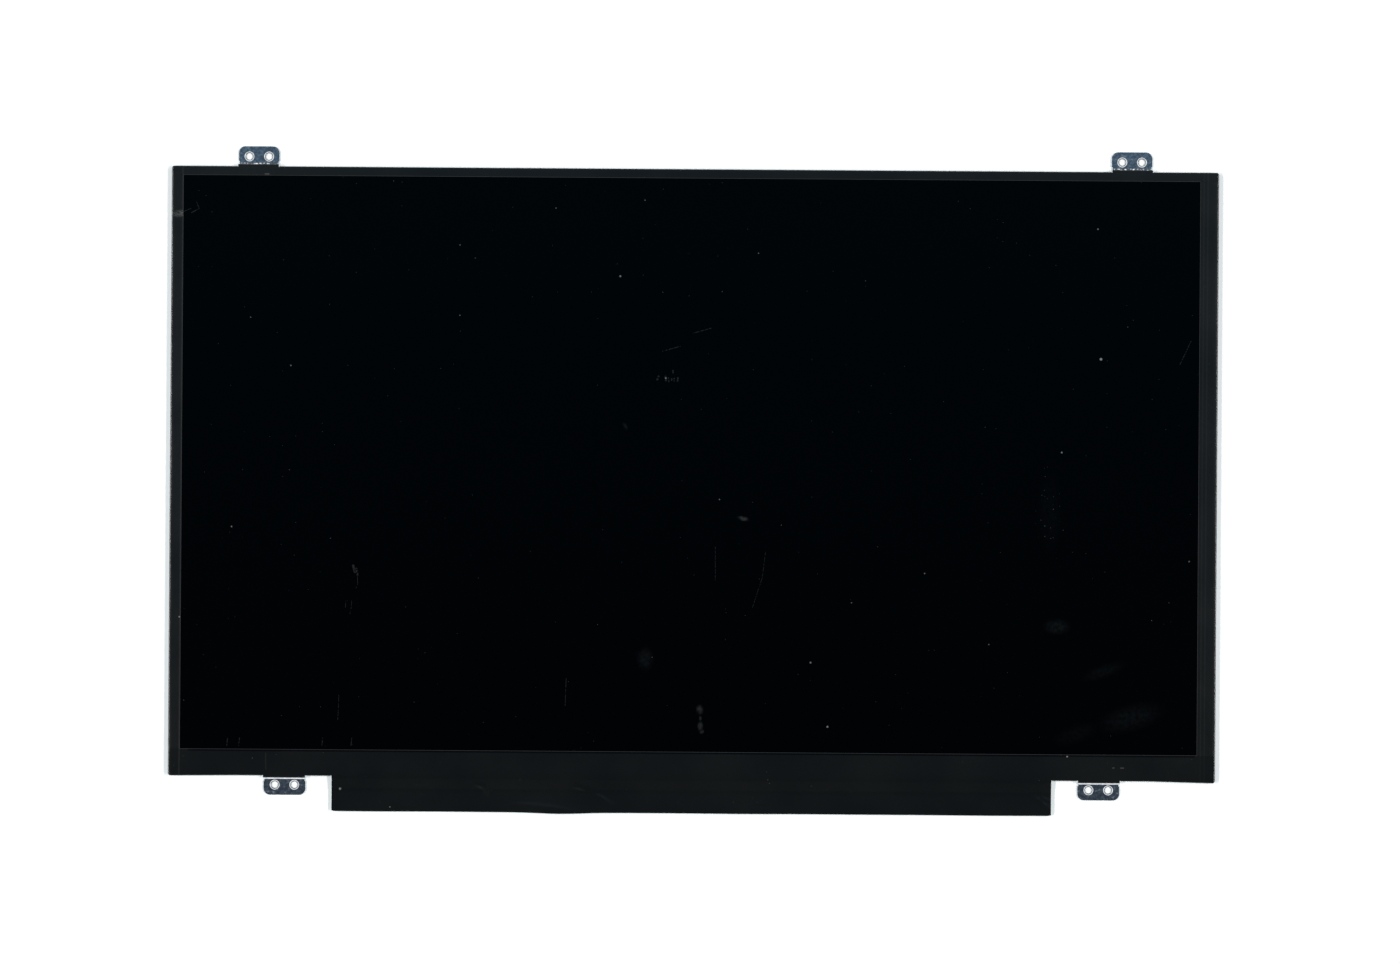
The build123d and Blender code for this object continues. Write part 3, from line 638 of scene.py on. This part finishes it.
def lay_tape(name, edge, outward, border, skirt, flat_kept, skirt_kept, seed):
    """Tape on the panel's border. Each column runs from the window to the fold, and then follows the fold,
    the ear or the flap. Its upper face slopes off towards its cut edge at the window."""
    start = edge - FOLD_START * outward
    lengths = np.hypot(*(start - border).T)[:, None]
    steps = np.linspace(0.0, EDGE_TAPER, 4)
    sloped = np.tile(steps, (len(edge), 1)) / lengths
    level = (1 - EDGE_TAPER / lengths) * np.linspace(0, 1, 8)[1:-1] + EDGE_TAPER / lengths
    share = np.concatenate([sloped, level], axis=1)
    flat = border[:, None] + share[..., None] * (start - border)[:, None]
    rise = TAPE_Z + 0.03 * ripple(flat[..., 0], flat[..., 1], seed, 30.0)
    inwards, height = skirt
    hung = edge[:, None] - inwards[..., None] * outward[:, None]
    middle = np.concatenate([np.dstack([flat, rise]), np.dstack([hung, height])], axis=1)
    along = np.stack([outward[:, 1], -outward[:, 0], np.zeros(len(edge))], axis=-1)
    normal = np.cross(along[:, None], np.gradient(middle, axis=1))
    normal /= np.linalg.norm(normal, axis=-1, keepdims=True)
    upper = np.full(middle.shape[1], TAPE_T / 2)
    upper[:4] = TAPE_T * (np.linspace(0.2, 1, 4) - 0.5)
    keep = np.concatenate([np.repeat(flat_kept[:, None], share.shape[1], axis=1),
                           np.repeat(skirt_kept[:, None], ROWS - 1, axis=1)], axis=1)
    points, faces = closed_sheet(middle + upper[:, None] * normal, middle - TAPE_T / 2 * normal, keep)
    add_piece(name, points, faces, tape, [name])


def corner(centre, first, last):
    """Rounded body corner: places along its arc, and the way out from each."""
    turn = np.radians(np.linspace(first, last, 9))
    outward = np.stack([np.cos(turn), np.sin(turn)], axis=-1)
    return np.array(centre) + CORNER * outward, outward


def loosened(edge):
    """The lower edge with its tape standing off at both corners: most at the end of the straight run, less
    towards the ear and up the rounded corner."""
    x, y = edge.T
    near = np.clip((np.abs(x) - LOOSE_START) / (HALF_W - LOOSE_START), 0, 1)
    share = np.clip((BOTTOM + CORNER - y) / CORNER, 0, 1)
    return np.stack([x, y - np.where(x < 0, *LOOSE) * near * share], axis=-1)


def between(places, low, high):
    """Which runs between neighbouring places lie between two limits."""
    middle = (places[1:] + places[:-1]) / 2
    return (middle > low) & (middle < high)


def gaps(places, edges):
    """Which runs between neighbouring places lie in a slit outside one of the edges."""
    made = np.zeros(len(places) - 1, bool)
    for edge, side in edges:
        made |= between(places, *sorted((edge, edge + side * SLIT)))
    return made


def edge_tapes():
    """The tapes of the top, left and right edges and of the lower border with its flap."""
    def at_corner(count):
        return folded(count, CORNER - 0.06)

    def joined(*parts):
        return tuple(np.concatenate(column) for column in zip(*parts))

    x_end = HALF_W - CORNER
    arc_left, out_left = corner((-x_end, TOP - CORNER), 180, 90)
    arc_right, out_right = corner((x_end, TOP - CORNER), 90, 0)
    middle, half = EAR_TOP
    ears = (-middle - half, -middle + half, middle - half, middle + half)
    slits = tuple((x, side) for x, side in zip(ears, (-1, 1, -1, 1)))
    stops = np.sort(np.array([-x_end, x_end, *ears, *(x + side * SLIT for x, side in slits)]))
    x = stations(stops, 2.0)[1:-1]
    eared = (np.abs(np.abs(x) - middle) <= half + 1e-6)[:, None]
    line = np.stack([x, np.full(len(x), TOP)], axis=-1)
    edge = np.concatenate([arc_left, line, arc_right])
    outward = np.concatenate([out_left, np.tile((0.0, 1.0), (len(x), 1)), out_right])
    border = np.stack([(edge - FOLD_START * outward)[:, 0], np.full(len(edge), WINDOW_TOP)], axis=-1)
    straight = tuple(np.where(eared, a, b) for a, b in zip(over_ear(len(x)), folded(len(x))))
    skirt = joined(at_corner(9), straight, at_corner(9))
    every = np.ones(len(edge) - 1, bool)
    lay_tape("top_edge_tape", edge, outward, border, skirt, every, ~gaps(edge[:, 0], slits), 11)

    y = stations(np.array([TOP - CORNER, WINDOW_TOP, BOTTOM + CORNER]), 3.0)
    arc_low, out_low = corner((-x_end, BOTTOM + CORNER), 180, 270)
    edge = np.concatenate([np.stack([np.full(len(y), -HALF_W), y], axis=-1), arc_low[1:]])
    outward = np.concatenate([np.tile((-1.0, 0.0), (len(y), 1)), out_low[1:]])
    border = np.stack([np.full(len(edge), WINDOW_LEFT), (edge - FOLD_START * outward)[:, 1]], axis=-1)
    skirt = joined(folded(len(y)), at_corner(8))
    every = np.ones(len(edge) - 1, bool)
    below = between(edge[:, 1], BOTTOM - 1, WINDOW_TOP)
    lay_tape("left_edge_tape", loosened(edge), outward, border, skirt, below, every, 12)

    y = stations(np.array([TOP - CORNER, WINDOW_TOP, WINDOW_BOTTOM, BOTTOM + CORNER]), 3.0)
    edge = np.stack([np.full(len(y), HALF_W), y], axis=-1)
    outward = np.tile((1.0, 0.0), (len(y), 1))
    border = np.stack([np.full(len(y), WINDOW_RIGHT), y], axis=-1)
    every = np.ones(len(y) - 1, bool)
    beside = between(y, WINDOW_BOTTOM, WINDOW_TOP)
    lay_tape("right_edge_tape", edge, outward, border, folded(len(y)), beside, every, 13)

    arc_low, out_low = corner((x_end, BOTTOM + CORNER), 270, 360)
    middle, half = EAR_BOTTOM
    ears = (-middle - half, -middle + half, -FLAP_HALF, FLAP_HALF, middle - half, middle + half)
    slits = tuple((x, side) for x, side in zip(ears, (-1, 1, -1, 1, -1, 1)))
    outer = np.sort(np.array([-x_end, WINDOW_LEFT, x_end, *ears, *(x + side * SLIT for x, side in slits)]))
    x = np.unique(np.concatenate([stations(outer, 2.0), stations(np.array([-FLAP_HALF, FLAP_HALF]), 0.8)]))
    eared = (np.abs(np.abs(x) - middle) <= half + 1e-6)[:, None]
    flapped = (np.abs(x) <= FLAP_HALF + 1e-6)[:, None]
    rows = tuple(np.where(eared, a, b) for a, b in zip(over_ear(len(x)), folded(len(x))))
    rows = tuple(np.where(flapped, a, b) for a, b in zip(flap(x), rows))
    edge = np.concatenate([np.stack([x, np.full(len(x), BOTTOM)], axis=-1), arc_low[1:]])
    outward = np.concatenate([np.tile((0.0, -1.0), (len(x), 1)), out_low[1:]])
    border = np.stack([(edge - FOLD_START * outward)[:, 0], np.full(len(edge), WINDOW_BOTTOM)], axis=-1)
    skirt = joined(rows, at_corner(8))
    covered = between(edge[:, 0], WINDOW_LEFT, HALF_W)
    whole = ~gaps(edge[:, 0], slits)
    lay_tape("board_cover_tape", loosened(edge), outward, border, skirt, covered, whole, 14)


def ended_blocks(name, lot, cap, round_by, finish):
    """Small parts as rounded bars with proud end caps: a rounded square carried through eight places along
    the part, smaller at both ends and between the caps, and copied to each place in the fields."""
    fields, columns, rows, (length, depth, height) = lot
    turn = np.radians(np.arange(15.0, 360.0, 30.0))
    bend = np.stack([np.cos(turn), np.sin(turn)], axis=-1)
    inset = np.array([round_by, 0.0, 0.0, 0.03, 0.03, 0.0, 0.0, round_by])
    ends = np.array([length / 2, length / 2 - round_by, length / 2 - cap, length / 2 - cap - 0.02])
    along = np.concatenate([-ends, ends[::-1]])
    half = np.array([depth / 2, height / 2]) - round_by
    loop = np.sign(bend) * half + round_by * bend
    scale = 1 - inset[:, None, None] / np.array([depth / 2, height / 2])
    ring = loop * scale
    ring = np.concatenate([np.broadcast_to(along[:, None, None], (8, 12, 1)), ring], axis=-1)
    offsets = np.stack(np.meshgrid((np.arange(columns) - (columns - 1) / 2) * PITCH[0],
                                   (np.arange(rows) - (rows - 1) / 2) * PITCH[1]), axis=-1).reshape(-1, 2)
    spots = (np.array(fields)[:, None, None] * np.array([BOARD_X, 0.0]) + offsets).reshape(-1, 2)
    low = np.full(len(spots), BOARD_BACK_Z - height / 2)
    spots = np.column_stack([spots[:, 0], spots[:, 1] + BOARD_MID_Y, low])
    points = spots[:, None, None] + ring
    index = np.arange(points.size // 3).reshape(len(spots), 8, 12)
    after = np.roll(index, -1, axis=2)
    sides = np.stack([index[:, :-1], after[:, :-1], after[:, 1:], index[:, 1:]], axis=-1).reshape(-1, 4)
    faces = sides.tolist() + index[:, 0, ::-1].tolist() + index[:, -1].tolist()
    tinned = np.broadcast_to(np.array([1, 1, 1, 0, 0, 1, 1, 1])[:, None], (len(spots), 8, 12)).reshape(-1)
    add_piece(name, points.reshape(-1, 3), faces, finish, [name], tinned)


def dress(finish, *names):
    """Gives CAD nodes a material."""
    for name in names:
        node = solids[name]
        if not node.material_slots:
            node.data.materials.append(finish)
        for place in node.material_slots:
            place.material = finish


tape = tape_finish()
edge_tapes()
dress(tape, "cell_bonding_tape")
dress(screen_finish(), "front_polariser")
dress(ear_finish(), *(f"ear_bracket_{end}_{side}" for end in ("top", "bottom") for side in ("left", "right")))
dress(cover_finish(), "back_cover")
dress(board_finish(), "control_board")
dress(moulded_finish("black_frame_plastic", (0.011, 0.011, 0.012), (0.016, 0.016, 0.017), 0.45),
      "mould_frame")
dress(moulded_finish("grey_ferrite", (0.035, 0.035, 0.037), (0.05, 0.05, 0.052), 0.6, 4.0, 0.03),
      "power_coil", "backlight_coil")
dress(moulded_finish("ivory_receptacle", (0.58, 0.53, 0.42), (0.66, 0.61, 0.5), 0.35),
      "signal_connector_housing")
dress(moulded_finish("diode_package", (0.78, 0.72, 0.4), (0.85, 0.8, 0.5), 0.3), "light_emitting_diodes")
dress(metal_finish("tinned_shell", (0.66, 0.66, 0.65), (0.45, 0.44, 0.42), 0.2), "signal_connector_shell")
dress(metal_finish("gold_contacts", (0.85, 0.62, 0.25), (0.6, 0.42, 0.16), 0.16), "signal_connector_contacts")
dress(flex_finish(), "light_strip_flex", *(f"source_film_{number}" for number in range(1, 5)))
dress(sheet_finish("display_glass", (0.012, 0.018, 0.018), (0.016, 0.022, 0.022), 0.05),
      "tft_glass", "colour_filter_glass")
dress(sheet_finish("grey_rear_film", (0.03, 0.03, 0.034), (0.04, 0.04, 0.044), 0.2), "rear_polariser")
dress(sheet_finish("milky_film", (0.74, 0.76, 0.78), (0.8, 0.82, 0.84), 0.3),
      "diffuser_sheet", "lower_prism_sheet", "upper_prism_sheet")
dress(sheet_finish("light_guide_acrylic", (0.78, 0.84, 0.86), (0.84, 0.89, 0.9), 0.08), "light_guide_plate")
dress(sheet_finish("white_reflector", (0.84, 0.84, 0.83), (0.88, 0.88, 0.87), 0.5), "reflector_sheet")
for chip, (share, dot) in CHIPS.items():
    dress(chip_finish("resin_" + chip, share * BOARD_X, dot), chip)
dress(moulded_finish("driver_silicon", (0.03, 0.032, 0.04), (0.05, 0.05, 0.06), 0.25),
      *(f"source_chip_{number}" for number in range(1, 5)))
tan_ceramic = ended_finish("tan_ceramic", (0.42, 0.27, 0.15), 0.4)
ended_blocks("capacitors", CAPACITORS, 0.36, 0.07, tan_ceramic)
black_ceramic = ended_finish("black_ceramic", (0.02, 0.02, 0.022), 0.35)
ended_blocks("resistors", RESISTORS, 0.24, 0.04, black_ceramic)


def background_rays(start):
    """1 for rays from the camera, off a gloss or through glass, which see the bright background."""
    kinds = ("Camera", "Glossy", "Transmission")
    first, second, third = (start.node("LightPath", {}, {}, f"Is {kind} Ray") for kind in kinds)
    return first | second | third


def pale_floor():
    """A wide level floor of near-white card, which shows as white where nothing shades it."""
    side = np.linspace(-FLOOR_HALF / MM, FLOOR_HALF / MM, 3)
    grid = np.stack(np.meshgrid(side, side, indexing="ij"), axis=-1).reshape(-1, 2)
    points = np.column_stack([grid, np.full(9, -0.02)])
    index = np.arange(9).reshape(3, 3)
    faces = np.stack([index[:-1, :-1], index[1:, :-1], index[1:, 1:], index[:-1, 1:]], axis=-1).reshape(-1, 4)
    made, place = begin("pale_card")
    tooth = place.noise(0.8, 2.0)
    card = place.node("BsdfDiffuse", {}, {"Color": tooth.mix(paint(0.8, 0.8, 0.8), paint(0.81, 0.81, 0.81))})
    strength = 0.26 * background_rays(place)
    glow = place.node("Emission", {}, {"Color": paint(0.82, 0.97, 1.0), "Strength": strength})
    both = place.node("AddShader", {}, {0: card, 1: glow})
    place.node("OutputMaterial", {}, {"Surface": both})
    mesh = bpy.data.meshes.new("floor")
    mesh.from_pydata((points * MM).tolist(), [], faces.tolist())
    mesh.materials.append(made)
    floor = bpy.data.objects.new("floor", mesh)
    bpy.context.collection.objects.link(floor)


def studio():
    """Soft light from all round the horizon under a dark blue ceiling, and one soft lamp at each side."""
    world = bpy.data.worlds.new("studio")
    world.use_nodes = True
    world.node_tree.nodes.clear()
    start = Wire(world.node_tree)
    way = start.node("TexCoord", {}, {}, "Generated")
    ceiling = way.axis("Y").rise(-0.05, 0.1).mix(paint(0.025, 0.043, 0.068), paint(0.09, 0.175, 0.255))
    colour = way.axis("Z").rise(0.7, 0.93).mix(paint(0.97, 0.99, 1.0), ceiling)
    sky = start.node("Background", {}, {"Color": colour, "Strength": 0.3 + 0.7 * background_rays(start)})
    start.node("OutputWorld", {}, {"Surface": sky})
    bpy.context.scene.world = world
    for side in (-1, 1):
        lamp = bpy.data.lights.new("soft_lamp", "AREA")
        lamp.shape = "RECTANGLE"
        lamp.size, lamp.size_y = LAMP_SIZE
        lamp.energy = LAMP_POWER
        stand = bpy.data.objects.new("soft_lamp", lamp)
        stand.location = (LAMP_OUT * side, 0.0, LAMP_HEIGHT)
        stand.rotation_euler = (0.0, math.radians(LAMP_TILT) * side, 0.0)
        bpy.context.collection.objects.link(stand)


def camera():
    """Looks straight down with a long lens, turned a touch as the panel lies in the picture."""
    eye = bpy.data.cameras.new("camera")
    eye.lens = 135.0
    eye.sensor_width = 36.0
    eye.clip_end = 50.0
    stand = bpy.data.objects.new("camera", eye)
    stand.location = EYE_PLACE
    stand.rotation_euler = (0.0, 0.0, math.radians(EYE_TURN))
    bpy.context.collection.objects.link(stand)
    bpy.context.scene.camera = stand


pale_floor()
studio()
camera()
bpy.context.scene.view_settings.view_transform = "Standard"
